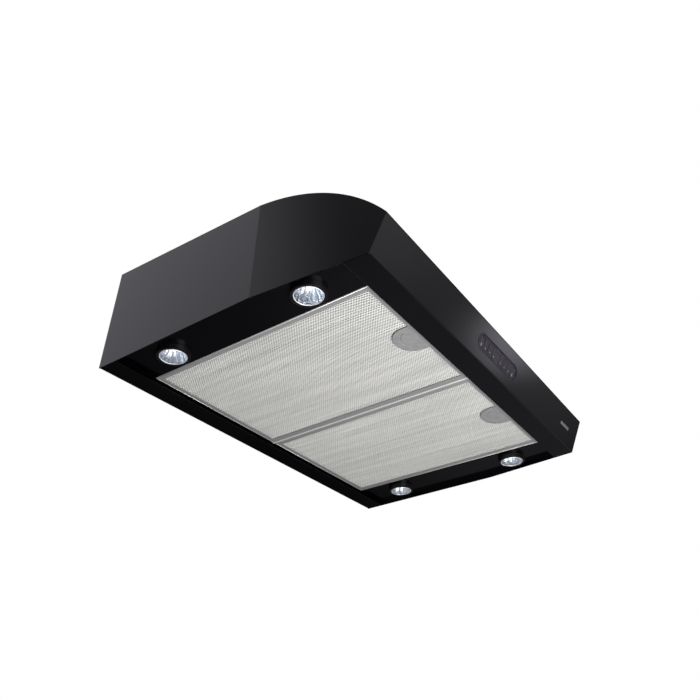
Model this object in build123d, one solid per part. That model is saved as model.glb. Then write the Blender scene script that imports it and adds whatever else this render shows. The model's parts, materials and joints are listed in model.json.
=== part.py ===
from build123d import *
import os
from math import asin, atan2, cos, hypot, radians, sin, sqrt, tan

# Under cabinet range hood. Millimetres, +Z up, the front of the hood faces -Y.
# The origin is the middle of the four cabinet screws, on the flat top face.

# ---- Body ----
HOOD_WIDTH = 760.0
HOOD_HEIGHT = 183.0  # at the wall
FOLD_DEPTH = 308.0  # from the wall to the side folds, where the top starts to curve down
FRONT_DEPTH = 514.0  # from the wall to the top edge of the fascia
LIP_DEPTH = 489.0  # from the wall to the bottom edge of the fascia
LIP_WIDTH = 725.0  # width at the bottom edge of the fascia
COVER_RADIUS = 264.0
UNDERSIDE_SLOPE = 2.96  # degrees, the underside rises towards the front
SHEET = 1.0
BEND = 2.5  # outside radius of a fold
WALL_Y = 150.0  # the back of the hood

# ---- Underside: s is measured forward from the wall, n up from the bottom rims ----
PAN_LEVEL = 9.5  # the pan's lower face
REAR_FLANGE = 38.0
FRONT_FLANGE_START = 452.5
OPENING_START = 33.4
OPENING_END = 452.6
OPENING_HALF = 298.8

# ---- Filters ----
FILTER_INNER = 2.6  # from the middle to a filter's inner side
FILTER_OUTER = 298.2
FILTER_REAR = 34.5
FILTER_FRONT = 451.4
FILTER_THICKNESS = 9.0
FRAME_BAND = 10.5
FRAME_SKIN = 1.0
FRAME_ROUND = 3.0
MESH_LAYERS = 3
MESH_SHEET = 0.5
MESH_GAP = 1.0
PIVOT_S = 39.0
PIVOT_N = PAN_LEVEL + FILTER_THICKNESS / 2
PIN_RADIUS = 2.0
RUNNING_CLEARANCE = 0.06
PIN_INNER_REACH = 2.4  # how far the pins stand out of the frame
PIN_OUTER_REACH = 3.0
CHANNEL_PLAY = 0.2
DIVIDER_HALF = 2.0
DIVIDER_HEIGHT = 10.0
DIVIDER_LAP = 6.0  # how far the divider lies on the pan at each end

# ---- Filter latches ----
LATCH_X = (FILTER_INNER + FILTER_OUTER) / 2
LATCH_HALF_WIDTH = 33.0
LATCH_DEPTH = 40.0
LATCH_STRAIGHT = 11.0  # how far its sides run straight before the round end
GRIP_SCALE = 0.66
GRIP_WIDTH = 2.5
GRIP_DEPTH = 0.7
LATCH_FLAT_S = 440.5
LATCH_THICKNESS = 1.4
LATCH_LEVEL = PAN_LEVEL + 0.1
TONGUE_HALF = 12.0
TONGUE_LEVEL = 12.0
TONGUE_THICKNESS = 1.6
TONGUE_TIP = 452.0
TONGUE_ROOT = 4.0
TONGUE_PLAY = 0.4
LATCH_TRAVEL = 7.0

# ---- Lamps ----
LAMP_X = 334.5
LAMP_DEPTHS = (116.0, 375.0)
LENS_RADIUS = 21.7
LAMP_LEVEL = 0.8  # lower rim of the bezel
BEZEL_RADIUS = 25.8
NECK_RADIUS = 24.6
NECK_HEIGHT = 9.0
PAN_HOLE_RADIUS = 25.0
LENS_SEAT = 1.2  # how far the lens reaches behind the rim
LENS_LEVEL = LAMP_LEVEL + 1.0
LENS_THICKNESS = 2.0
BOWL_HEIGHT = 24.0
BOWL_WAIST = 9.0
BOWL_MIDDLE = 17.0
BOWL_WALL = 1.0
LAMP_BASE_HEIGHT = 14.0
CAPSULE_RADIUS = 3.5
CAPSULE_SINK = 6.0
SOCKET_SIZE = (24.0, 16.0, 14.0)

# ---- Controls, on the fascia: u is across, v up the face, w out of it ----
PILL_LENGTH = 142.0
PILL_HEIGHT = 27.0
PILL_V = 30.8
KEY_PITCH = 14.9
FIRST_KEY = 12.9
KEYS_PER_SIDE = 4
KEY_WIDTH = 13.0
KEY_HEIGHT = 16.6
KEY_GAP = 0.35
KEY_FACE = -1.2
KEY_BACK = -7.0
BADGE_SIZE = (39.0, 5.5, 0.6)
BADGE_PLACE = (298.0, 31.0)

PILL_FIT = 0.4
SURROUND_RIM = 0.6
SURROUND_BACK = -6.0
SURROUND_FLANGE = 8.0
SURROUND_FLANGE_BACK = -3.0
RECESS_EDGE = 2.4
RECESS_FLOOR = -1.5
STEM_RADIUS = 2.0
STEM_TIP = -9.2
BOARD_SIZE = (136.0, 22.0, 1.6)
BOARD_FACE = -12.4
SWITCH_SIZE = 6.0
SWITCH_HEIGHT = 1.4
BOX_GAP = 1.5
BOX_WALL = 1.5
BOX_DEPTH = 26.0

# ---- Top: duct and cabinet screws ----
SCREW_SPACING = (600.0, 200.0)
SCREW_HOLE = 3.0
DUCT_Y = 20.0
DUCT_RADIUS = 75.5
DUCT_RISE = 36.0
DUCT_FLANGE = 86.0
DUCT_NECK = 75.1  # radius at the foot of the collar, where it tapers down through the top panel
NECK_TOP = 1.0
SEAT_WIDTH = 1.2
SEAT_THICKNESS = 2.0
FLAP_RADIUS = 73.0
FLAP_LEVEL = 10.0
FLAP_THICKNESS = 0.8
FLAP_PIN = 1.5
FLAP_BARREL = 3.0
FLAP_EDGE = 0.4
BARREL_LENGTH = 26.0
BARREL_STARTS = {-1: (-62.0, 4.0), 1: (-30.0, 36.0)}
FLAP_LIFT = 0.4

# ---- Blower ----
SCROLL_RADIUS = 62.0
SCROLL_Z = -90.0
SCROLL_HALF = 58.0
SCROLL_WALL = 1.5
OUTLET_TOP = -2.0
OUTLET_HALF = 37.0
SCROLL_Y = DUCT_Y + OUTLET_HALF - SCROLL_RADIUS
INLET_RADIUS = 44.0
WHEEL_RADIUS = 52.0
WHEEL_HALF = 49.0
BLADE_DEPTH = 10.0
BLADE_COUNT = 32
BLADE_ANGLE = 32.0
BLADE_THICKNESS = 0.9
WHEEL_RING = 3.0
HUB_RADIUS = 9.0
HUB_HALF = 10.0
DISC_HALF = 1.0
SHAFT_RADIUS = 4.0
MOTOR_RADIUS = 34.0
MOTOR_FACE = -66.0
MOTOR_LENGTH = 62.0
MOTOR_ROUND = 4.0
NOSE_RADIUS = 11.0
NOSE_LENGTH = 4.0
SHAFT_END = 12.0
SHAFT_GRIP = 24.0
BAND_OFFSET = 30.0
BAND_WIDTH = 12.0
BAND_THICKNESS = 2.0
ARM_HALF = 7.0
ARM_FOOT = 17.0
ARM_TURNS = (90, 210, 330)
CAPACITOR_PLACE = (-215.0, 60.0)
CAPACITOR_SIZE = (15.0, 62.0)

# ---- Hinge brackets ----
BRACKET_GAP = 1.0
BRACKET_WIDTH = 10.0
BRACKET_SHEET = 2.0
BRACKET_HEIGHT = 9.5
BRACKET_REACH = 6.0

# ---- Electrical box, behind the cable hole ----
CABLE_X = 290.0
CABLE_Z = -42.0
CABLE_HOLE = 11.1
GLAND_BORE = 6.0
GLAND_LENGTH = 25.0
JUNCTION_SIZE = (90.0, 55.0, 60.0)
NUT_RADIUS = 15.0
NUT_HEIGHT = 6.0
TRANSFORMER_START = (-330.0, 10.0)
TRANSFORMER_SIZE = (68.0, 52.0, 34.0)

# ---- Worked out from these ----
SLOPE = radians(UNDERSIDE_SLOPE)
FRONT_DROP = COVER_RADIUS - sqrt(COVER_RADIUS**2 - (FRONT_DEPTH - FOLD_DEPTH) ** 2)
LIP_Z = -HOOD_HEIGHT + LIP_DEPTH * tan(SLOPE)
TAPER = (HOOD_WIDTH - LIP_WIDTH) / 2 / (LIP_DEPTH - FOLD_DEPTH)
LEAN = atan2(FRONT_DEPTH - LIP_DEPTH, -FRONT_DROP - LIP_Z)
FACE_HEIGHT = hypot(FRONT_DEPTH - LIP_DEPTH, -FRONT_DROP - LIP_Z)
UNDERSIDE = Plane(
    origin=(0, WALL_Y, -HOOD_HEIGHT), x_dir=(1, 0, 0), z_dir=(0, sin(SLOPE), cos(SLOPE))
)
FASCIA = Plane(
    origin=(0, WALL_Y - LIP_DEPTH, LIP_Z), x_dir=(1, 0, 0), z_dir=(0, -cos(LEAN), -sin(LEAN))
)
LAMP_PLACES = [(side * LAMP_X, depth) for side in (-1, 1) for depth in LAMP_DEPTHS]
KEY_PLACES = [
    side * (FIRST_KEY + KEY_PITCH * step)
    for side, steps in ((-1, range(KEYS_PER_SIDE - 1, -1, -1)), (1, range(KEYS_PER_SIDE)))
    for step in steps
]
FAR = 1000.0


# ---- Helpers ----
def span_box(x0, x1, y0, y1, z0, z1):
    """A box between two corners."""
    centre = Pos((x0 + x1) / 2, (y0 + y1) / 2, (z0 + z1) / 2)
    return centre * Box(abs(x1 - x0), abs(y1 - y0), abs(z1 - z0))


def under_box(x0, x1, s0, s1, n0, n1):
    """A box in the underside's own directions."""
    return UNDERSIDE.location * span_box(x0, x1, -s1, -s0, n0, n1)


def under_disc(x, s, n0, n1, radius):
    """A round bar standing square on the underside."""
    centre = Pos(x, -s, (n0 + n1) / 2)
    return UNDERSIDE.location * centre * Cylinder(radius, n1 - n0)


def fascia_box(u0, u1, v0, v1, w0, w1):
    """A box in the fascia's own directions."""
    return FASCIA.location * span_box(u0, u1, v0, v1, w0, w1)


def cross_bar(x0, x1, y, z, radius):
    """A round bar along X."""
    return Pos((x0 + x1) / 2, y, z) * Rot(0, 90, 0) * Cylinder(radius, x1 - x0)


def pivot_bar(x0, x1, radius):
    """A round bar on the filters' pivot line."""
    centre = Pos((x0 + x1) / 2, -PIVOT_S, PIVOT_N) * Rot(0, 90, 0)
    return UNDERSIDE.location * centre * Cylinder(radius, x1 - x0)


def plan_prism(inset):
    """The plan outline, open-ended past the wall and the front, as a tall prism."""
    half = HOOD_WIDTH / 2 - inset
    reach = FRONT_DEPTH + 20
    front_half = half - (reach - FOLD_DEPTH) * TAPER
    outline = [
        (-half, WALL_Y + 20 * (inset > 0)),
        (-half, WALL_Y - FOLD_DEPTH),
        (-front_half, WALL_Y - reach),
        (front_half, WALL_Y - reach),
        (half, WALL_Y - FOLD_DEPTH),
        (half, WALL_Y + 20 * (inset > 0)),
    ]
    face = make_face(Polyline(*outline, close=True))
    return extrude(Pos(0, 0, -HOOD_HEIGHT - 20) * face, amount=HOOD_HEIGHT + 40)


def profile_face(inset):
    """The hood seen from the side: flat top, curved cover, leaning fascia, sloping underside."""
    radius = COVER_RADIUS - inset
    rear = WALL_Y - inset
    fold_y = WALL_Y - FOLD_DEPTH
    top_z = -inset
    lean_shift = inset / cos(LEAN)
    lip_y = WALL_Y - LIP_DEPTH + lean_shift
    end_angle = asin((FRONT_DEPTH - FOLD_DEPTH - lean_shift) / radius)
    end = (fold_y - radius * sin(end_angle), -COVER_RADIUS + radius * cos(end_angle))
    middle_angle = end_angle / 2
    middle = (fold_y - radius * sin(middle_angle), -COVER_RADIUS + radius * cos(middle_angle))
    rear_top = (rear, top_z)
    fold_top = (fold_y, top_z)
    edges = [
        Line(rear_top, fold_top),
        ThreePointArc(fold_top, middle, end),
        Line(end, (lip_y, LIP_Z)),
        Line((lip_y, LIP_Z), (rear, -HOOD_HEIGHT + inset * tan(SLOPE))),
        Line((rear, -HOOD_HEIGHT + inset * tan(SLOPE)), rear_top),
    ]
    return make_face(edges)


def profile_prism(inset):
    """The side profile across the whole width."""
    return extrude(Plane.YZ * profile_face(inset), amount=HOOD_WIDTH, both=True)


def folded_sheet(points, corner, radius):
    """A sheet with one fold, square across the hood. Its other face is on the points' left."""
    (x0, y0), (x1, y1), (x2, y2) = points
    first = atan2(y1 - y0, x1 - x0)
    second = atan2(y2 - y1, x2 - x1)
    half_turn = (second - first) / 2
    start = (x0 - SHEET * sin(first), y0 + SHEET * cos(first))
    finish = (x2 - SHEET * sin(second), y2 + SHEET * cos(second))
    middle = first + half_turn
    reach = SHEET / cos(half_turn)
    inner = (x1 - reach * sin(middle), y1 + reach * cos(middle))
    face = Polyline(*points, finish, inner, start, close=True)
    sketch = Sketch() + make_face(face)
    sketch = fillet(sketch.vertices().sort_by_distance((*corner, 0))[0], radius)
    sketch = fillet(sketch.vertices().sort_by_distance((*inner, 0))[0], radius - SHEET)
    return extrude(Plane.YZ * sketch, amount=HOOD_WIDTH, both=True)


def half_space(side):
    """Everything left (-1) or right (1) of the middle."""
    return span_box(0, side * FAR, -FAR, FAR, -FAR, FAR)


# ---- Shell ----
def side_panel(side):
    """Side sheet, folded inward at FOLD_DEPTH, its top edge following the curved cover."""
    walls = (plan_prism(0) - plan_prism(SHEET)) & profile_prism(0)
    return walls & half_space(side)


def top_panel():
    """Flat top sheet with the duct hole and the cabinet screw holes."""
    sheet = span_box(-FAR, FAR, WALL_Y - FOLD_DEPTH, WALL_Y, -SHEET, 0) & plan_prism(SHEET)
    sheet -= Pos(0, DUCT_Y, 0) * Cylinder(DUCT_RADIUS + 0.1, 10)
    for across in (-1, 1):
        for back in (-1, 1):
            place = Pos(across * SCREW_SPACING[0] / 2, back * SCREW_SPACING[1] / 2)
            sheet -= place * Cylinder(SCREW_HOLE, 10)
    return sheet


def front_cover():
    """Curved sheet from the flat top down to the fascia."""
    axis = Plane.YZ * Pos(WALL_Y - FOLD_DEPTH, -COVER_RADIUS)
    ring = Circle(COVER_RADIUS) - Circle(COVER_RADIUS - SHEET)
    shell = extrude(axis * ring, amount=HOOD_WIDTH, both=True)
    front_of_fold = span_box(-FAR, FAR, -FAR, WALL_Y - FOLD_DEPTH, -FAR, 10)
    return shell & front_of_fold & plan_prism(SHEET) & profile_prism(0)


def front_fascia():
    """Leaning front face with a pill-shaped cut-out, folded back under the hood."""
    lip = (WALL_Y - LIP_DEPTH, LIP_Z)
    top = (WALL_Y - FRONT_DEPTH, -FRONT_DROP)
    flange = (WALL_Y - FRONT_FLANGE_START * cos(SLOPE), -HOOD_HEIGHT + FRONT_FLANGE_START * sin(SLOPE))
    sheet = folded_sheet([top, lip, flange], lip, BEND)
    return (sheet & plan_prism(SHEET)) - front_cover() - pill(PILL_FIT, -10, 10)


def rear_panel():
    """Back sheet against the wall, folded forward under the hood, with the cable hole."""
    corner = (WALL_Y, -HOOD_HEIGHT)
    flange = (WALL_Y - REAR_FLANGE * cos(SLOPE), -HOOD_HEIGHT + REAR_FLANGE * sin(SLOPE))
    sheet = folded_sheet([flange, corner, (WALL_Y, -SHEET)], corner, BEND) & plan_prism(SHEET)
    return sheet - Pos(CABLE_X, WALL_Y, CABLE_Z) * Rot(90, 0, 0) * Cylinder(CABLE_HOLE, 10)


def pill(grow, w0, w1):
    """A stadium on the fascia, grown all round, between two heights out of the face."""
    shape = SlotOverall(PILL_LENGTH + grow, PILL_HEIGHT + grow)
    return FASCIA.location * extrude(Pos(0, PILL_V, w0) * shape, amount=w1 - w0)


def bottom_pan():
    """Flat sheet above the rims, with the filter opening and a hole for each lamp."""
    sheet = under_box(-FAR, FAR, -10, FAR, PAN_LEVEL, PAN_LEVEL + SHEET)
    sheet = sheet & plan_prism(SHEET) & profile_prism(SHEET)
    sheet -= under_box(-OPENING_HALF, OPENING_HALF, OPENING_START, OPENING_END, 0, 30)
    for x, depth in LAMP_PLACES:
        sheet -= under_disc(x, depth, 0, 30, PAN_HOLE_RADIUS)
    return sheet - front_fascia()


def filter_divider():
    """Bar between the filters, lying on the pan at both ends, with the inner pivot hole."""
    low = under_box(-DIVIDER_HALF, DIVIDER_HALF, OPENING_START, OPENING_END, PAN_LEVEL, PAN_LEVEL + SHEET)
    high = under_box(
        -DIVIDER_HALF,
        DIVIDER_HALF,
        OPENING_START - DIVIDER_LAP,
        OPENING_END + DIVIDER_LAP,
        PAN_LEVEL + SHEET,
        PAN_LEVEL + DIVIDER_HEIGHT,
    )
    hole = pivot_bar(-2 * DIVIDER_HALF, 2 * DIVIDER_HALF, PIN_RADIUS + RUNNING_CLEARANCE)
    return (low + high) - hole


def hinge_brackets():
    """An angle on the pan beside each filter, with the outer pivot hole."""
    ear_start = FILTER_OUTER + BRACKET_GAP
    ear_end = ear_start + BRACKET_SHEET
    base = PAN_LEVEL + SHEET
    rear = PIVOT_S - BRACKET_REACH
    front = PIVOT_S + BRACKET_REACH
    hole = pivot_bar(-HOOD_WIDTH / 2, HOOD_WIDTH / 2, PIN_RADIUS + RUNNING_CLEARANCE)
    angles = Part()
    for side in (-1, 1):
        ear = under_box(side * ear_start, side * ear_end, rear, front, base, base + BRACKET_HEIGHT)
        toe = side * (ear_end + BRACKET_WIDTH)
        foot = under_box(side * ear_end, toe, rear, front, base, base + BRACKET_SHEET)
        angles += (ear + foot) - hole
    return angles


# ---- Filters ----
def side_under_box(side, x0, x1, s0, s1, n0, n1):
    """A box on one side of the middle, given by distances outward."""
    return under_box(side * x0, side * x1, s0, s1, n0, n1)


def filter_frame(side):
    """Channel frame, open inward for the mesh, round at the rear, with a pivot pin on each side."""
    top = PAN_LEVEL + FILTER_THICKNESS
    outer = side_under_box(side, FILTER_INNER, FILTER_OUTER, FILTER_REAR, FILTER_FRONT, PAN_LEVEL, top)
    rear_edges = outer.edges().filter_by(Axis.X).sort_by(Axis.Y)[-2:]
    outer = fillet(rear_edges, FRAME_ROUND)
    window = side_under_box(
        side,
        FILTER_INNER + FRAME_BAND,
        FILTER_OUTER - FRAME_BAND,
        FILTER_REAR + FRAME_BAND,
        FILTER_FRONT - FRAME_BAND,
        0,
        top + 10,
    )
    channel = filter_cavity(side, FRAME_SKIN)
    frame = outer - window - channel
    frame -= tongue_box(side, TONGUE_PLAY, FILTER_FRONT)
    for start, end in (
        (FILTER_INNER - PIN_INNER_REACH, FILTER_INNER + FRAME_SKIN),
        (FILTER_OUTER - FRAME_SKIN, FILTER_OUTER + PIN_OUTER_REACH),
    ):
        frame += pivot_bar(*sorted((side * start, side * end)), PIN_RADIUS)
    return frame


def filter_cavity(side, skin):
    """The space inside the channel frame."""
    return side_under_box(
        side,
        FILTER_INNER + skin,
        FILTER_OUTER - skin,
        FILTER_REAR + 1.5 * skin,
        FILTER_FRONT - skin,
        PAN_LEVEL + skin + CHANNEL_PLAY,
        PAN_LEVEL + FILTER_THICKNESS - skin - CHANNEL_PLAY,
    )


def filter_mesh(side):
    """Layers of grease mesh held in the frame, cut away around the latch tongue."""
    lowest = PAN_LEVEL + FRAME_SKIN + MESH_GAP
    highest = PAN_LEVEL + FILTER_THICKNESS - FRAME_SKIN - CHANNEL_PLAY - MESH_SHEET
    layers = Part()
    for layer in range(MESH_LAYERS):
        level = lowest + (highest - lowest) * layer / (MESH_LAYERS - 1)
        layers += side_under_box(
            side,
            FILTER_INNER + FRAME_SKIN,
            FILTER_OUTER - FRAME_SKIN,
            FILTER_REAR + 1.5 * FRAME_SKIN,
            FILTER_FRONT - FRAME_SKIN,
            level,
            level + MESH_SHEET,
        )
    pocket = side_under_box(
        side,
        LATCH_X - TONGUE_HALF - 4 * TONGUE_PLAY,
        LATCH_X + TONGUE_HALF + 4 * TONGUE_PLAY,
        LATCH_FLAT_S - 2 * LATCH_TRAVEL,
        FILTER_FRONT,
        0,
        TONGUE_LEVEL + TONGUE_THICKNESS + TONGUE_PLAY,
    )
    return layers - pocket


def tongue_box(side, grow, reach):
    """The latch tongue, grown all round."""
    return side_under_box(
        side,
        LATCH_X - TONGUE_HALF - grow,
        LATCH_X + TONGUE_HALF + grow,
        LATCH_FLAT_S - TONGUE_ROOT,
        TONGUE_TIP + reach,
        TONGUE_LEVEL - grow,
        TONGUE_LEVEL + TONGUE_THICKNESS + grow,
    )


def filter_latch(side):
    """D-shaped finger latch under the mesh, with a crescent grip and a tongue to the front."""
    place = UNDERSIDE.location * Pos(side * LATCH_X, -LATCH_FLAT_S, LATCH_LEVEL)
    rear_half = Pos(0, LATCH_DEPTH, 0) * Rectangle(4 * LATCH_HALF_WIDTH, 2 * LATCH_DEPTH)
    curve = LATCH_DEPTH - LATCH_STRAIGHT
    round_end = Pos(0, LATCH_STRAIGHT) * (Ellipse(LATCH_HALF_WIDTH, curve) & rear_half)
    outline = Pos(0, LATCH_STRAIGHT / 2) * Rectangle(2 * LATCH_HALF_WIDTH, LATCH_STRAIGHT) + round_end
    plate = place * extrude(outline, amount=LATCH_THICKNESS)
    grip = Ellipse(LATCH_HALF_WIDTH * GRIP_SCALE, curve * GRIP_SCALE)
    crescent = (grip - Pos(0, -GRIP_WIDTH) * grip) & (Pos(0, GRIP_WIDTH) * rear_half)
    crescent = Pos(0, LATCH_STRAIGHT) * crescent
    groove = place * extrude(Pos(0, 0, -GRIP_DEPTH) * crescent, amount=2 * GRIP_DEPTH)
    riser = side_under_box(
        side,
        LATCH_X - TONGUE_HALF,
        LATCH_X + TONGUE_HALF,
        LATCH_FLAT_S - TONGUE_ROOT,
        LATCH_FLAT_S,
        LATCH_LEVEL + LATCH_THICKNESS,
        TONGUE_LEVEL,
    )
    return (plate - groove) + riser + tongue_box(side, 0, 0)


# ---- Lamps ----
def lamp_bezel(x, depth):
    """Trim ring under the pan, with a neck that clips through it."""
    back = PAN_LEVEL + NECK_HEIGHT
    ring = under_disc(x, depth, LAMP_LEVEL, PAN_LEVEL, BEZEL_RADIUS)
    neck = under_disc(x, depth, PAN_LEVEL, back, NECK_RADIUS)
    bore = under_disc(x, depth, 0, back + 1, LENS_RADIUS)
    seat = under_disc(x, depth, LENS_LEVEL, back + 1, LENS_RADIUS + LENS_SEAT)
    return (ring + neck) - bore - seat


def lamp_lens(x, depth):
    """Front glass, resting inside the trim ring."""
    return under_disc(x, depth, LENS_LEVEL, LENS_LEVEL + LENS_THICKNESS, LENS_RADIUS + LENS_SEAT)


def lamp_bulb(x, depth):
    """Halogen reflector bowl with its base and the capsule inside it."""
    mouth = LENS_RADIUS + LENS_SEAT / 2
    level = BOWL_HEIGHT * 0.55
    top = BOWL_HEIGHT + LAMP_BASE_HEIGHT
    outside = [(mouth, 0), (BOWL_MIDDLE, level), (BOWL_WAIST, BOWL_HEIGHT)]
    inside = [(radius - BOWL_WALL, height) for radius, height in reversed(outside)]
    section = make_face(
        [
            Line((0, BOWL_HEIGHT), inside[0]),
            Spline(*inside),
            Line(inside[-1], outside[0]),
            Spline(*outside),
            Line(outside[-1], (BOWL_WAIST, top)),
            Line((BOWL_WAIST, top), (0, top)),
            Line((0, top), (0, BOWL_HEIGHT)),
        ]
    )
    bowl = revolve(Plane.XZ * section, axis=Axis.Z)
    capsule = Pos(0, 0, BOWL_HEIGHT - CAPSULE_SINK) * Cylinder(CAPSULE_RADIUS, 4 * CAPSULE_RADIUS)
    place = UNDERSIDE.location * Pos(x, -depth, LENS_LEVEL + LENS_THICKNESS)
    return place * (bowl + capsule)


def lamp_socket(x, depth):
    """Ceramic lamp holder behind the bulb."""
    width, length, height = SOCKET_SIZE
    base = LENS_LEVEL + LENS_THICKNESS + BOWL_HEIGHT + LAMP_BASE_HEIGHT
    return under_box(
        x - width / 2, x + width / 2, depth - length / 2, depth + length / 2, base, base + height
    )


# ---- Controls ----
def pill_box(length, height, w0, w1):
    """A box on the fascia, centred on the pill."""
    return fascia_box(-length / 2, length / 2, PILL_V - height / 2, PILL_V + height / 2, w0, w1)


def key_block(u, grow, w0, w1):
    """The space of one key."""
    half_width = KEY_WIDTH / 2 + grow
    half_height = KEY_HEIGHT / 2 + grow
    return fascia_box(u - half_width, u + half_width, PILL_V - half_height, PILL_V + half_height, w0, w1)


def control_bezel():
    """Pill-shaped key surround with a raised rim and a flange behind the fascia."""
    body = pill(0, SURROUND_BACK, SURROUND_RIM) + pill(SURROUND_FLANGE, SURROUND_FLANGE_BACK, -SHEET)
    body -= pill(-RECESS_EDGE, RECESS_FLOOR, 5)
    for u in KEY_PLACES:
        body -= key_block(u, KEY_GAP, -10, 10)
    return body


def control_key(u):
    """Push key with a stem towards its switch."""
    length = KEY_BACK - STEM_TIP
    stem = FASCIA.location * Pos(u, PILL_V, STEM_TIP + length / 2) * Cylinder(STEM_RADIUS, length)
    return key_block(u, 0, KEY_BACK, KEY_FACE) + stem


def control_board():
    """Circuit board with one switch behind each key."""
    length, height, thickness = BOARD_SIZE
    half = SWITCH_SIZE / 2
    top = BOARD_FACE + SWITCH_HEIGHT
    board = pill_box(length, height, BOARD_FACE - thickness, BOARD_FACE)
    for u in KEY_PLACES:
        board += fascia_box(u - half, u + half, PILL_V - half, PILL_V + half, BOARD_FACE, top)
    return board


def control_box():
    """Open-fronted box behind the fascia around the circuit board."""
    length = PILL_LENGTH + 4 * BOX_GAP
    height = PILL_HEIGHT + 2 * BOX_GAP
    front = SURROUND_FLANGE_BACK
    back = front - BOX_DEPTH
    shell = pill_box(length, height, back, front)
    return shell - pill_box(length - 2 * BOX_WALL, height - 2 * BOX_WALL, back + BOX_WALL, 0)


def badge():
    """Plain plate on the fascia."""
    length, height, thickness = BADGE_SIZE
    u, v = BADGE_PLACE
    return fascia_box(u - length / 2, u + length / 2, v - height / 2, v + height / 2, 0, thickness)


# ---- Duct ----
def duct_disc(z0, z1, radius):
    """A round slab about the duct's axis."""
    return Pos(0, DUCT_Y, (z0 + z1) / 2) * Cylinder(radius, z1 - z0)


def duct_collar():
    """Round collar through the top, with a tapered neck, a flange under it and a seat for the flaps."""
    tube = duct_disc(NECK_TOP, DUCT_RISE, DUCT_RADIUS)
    neck_height = NECK_TOP + 2 * SHEET
    neck = Pos(0, DUCT_Y, NECK_TOP - neck_height / 2) * Cone(DUCT_NECK, DUCT_RADIUS, neck_height)
    flange = duct_disc(-2 * SHEET, -SHEET, DUCT_FLANGE)
    bore = duct_disc(-2 * DUCT_RISE, 2 * DUCT_RISE, DUCT_RADIUS - SHEET)
    seat_top = FLAP_LEVEL - FLAP_THICKNESS / 2 - FLAP_LIFT
    seat = duct_disc(seat_top - SEAT_THICKNESS, seat_top, DUCT_RADIUS - SHEET / 2)
    seat -= duct_disc(0, FLAP_LEVEL, FLAP_RADIUS - SEAT_WIDTH)
    hole = cross_bar(-DUCT_FLANGE, DUCT_FLANGE, DUCT_Y, FLAP_LEVEL, FLAP_PIN)
    return ((tube + neck + flange) - bore + seat) - hole


def damper_pin():
    """Rod across the collar that both flaps turn on."""
    return cross_bar(-DUCT_RADIUS, DUCT_RADIUS, DUCT_Y, FLAP_LEVEL, FLAP_PIN)


def damper_flap(side):
    """Half-round flap with two barrels on the rod. The front flap has side -1."""
    edge = FLAP_BARREL + FLAP_EDGE
    bottom = FLAP_LEVEL - FLAP_THICKNESS / 2
    top = FLAP_LEVEL + FLAP_THICKNESS / 2
    keep = span_box(-FAR, FAR, DUCT_Y + side * edge, DUCT_Y + side * FAR, -FAR, FAR)
    flap = duct_disc(bottom, top, FLAP_RADIUS) & keep
    for start in BARREL_STARTS[side]:
        end = start + BARREL_LENGTH
        tab = span_box(start, end, DUCT_Y, DUCT_Y + side * (edge + FLAP_EDGE), bottom, top)
        flap += tab + cross_bar(start, end, DUCT_Y, FLAP_LEVEL, FLAP_BARREL)
    hole = FLAP_PIN + RUNNING_CLEARANCE
    return flap - cross_bar(-DUCT_RADIUS, DUCT_RADIUS, DUCT_Y, FLAP_LEVEL, hole)


# ---- Blower ----
def wheel_bar(x0, x1, radius):
    """A round bar on the wheel's axis."""
    return cross_bar(x0, x1, SCROLL_Y, SCROLL_Z, radius)


def scroll_block(inset, half, top):
    """Round casing and the outlet up from it."""
    rear = DUCT_Y + OUTLET_HALF - inset
    front = DUCT_Y - OUTLET_HALF + inset
    outlet = span_box(-half, half, front, rear, SCROLL_Z, top)
    return wheel_bar(-half, half, SCROLL_RADIUS - inset) + outlet


def blower_scroll():
    """Wall wrapped around the wheel, open at both sides and up into the duct."""
    half = SCROLL_HALF - SCROLL_WALL
    return scroll_block(0, half, OUTLET_TOP) - scroll_block(SCROLL_WALL, SCROLL_HALF, 0)


def blower_side(side):
    """Flat side of the scroll with the air inlet."""
    inner = side * (SCROLL_HALF - SCROLL_WALL)
    outer = side * SCROLL_HALF
    slab = span_box(inner, outer, -FAR, FAR, -FAR, FAR)
    plate = scroll_block(0, SCROLL_HALF, OUTLET_TOP) & slab
    return plate - wheel_bar(-2 * SCROLL_HALF, 2 * SCROLL_HALF, INLET_RADIUS)


def fan_wheel():
    """Double-inlet wheel: a middle disc, a ring at each end and blades between them."""
    inner = WHEEL_RADIUS - BLADE_DEPTH
    wheel = wheel_bar(-DISC_HALF, DISC_HALF, WHEEL_RADIUS) + wheel_bar(-HUB_HALF, HUB_HALF, HUB_RADIUS)
    for side in (-1, 1):
        start, end = sorted((side * WHEEL_HALF, side * (WHEEL_HALF - WHEEL_RING)))
        wheel += wheel_bar(start, end, WHEEL_RADIUS) - wheel_bar(start, end, inner)
    blade = Pos(0, WHEEL_RADIUS - 0.53 * BLADE_DEPTH, 0) * Rot(BLADE_ANGLE, 0, 0)
    blade *= Box(2 * (WHEEL_HALF - DISC_HALF), 1.04 * BLADE_DEPTH, BLADE_THICKNESS)
    centre = Pos(0, SCROLL_Y, SCROLL_Z)
    blades = [centre * Rot(360 / BLADE_COUNT * turn, 0, 0) * blade for turn in range(BLADE_COUNT)]
    wheel = wheel + blades
    return wheel - wheel_bar(-2 * HUB_HALF, 2 * HUB_HALF, SHAFT_RADIUS)


def motor_shaft():
    """Shaft from inside the motor to the wheel's hub."""
    return wheel_bar(MOTOR_FACE - SHAFT_GRIP, SHAFT_END, SHAFT_RADIUS)


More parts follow.
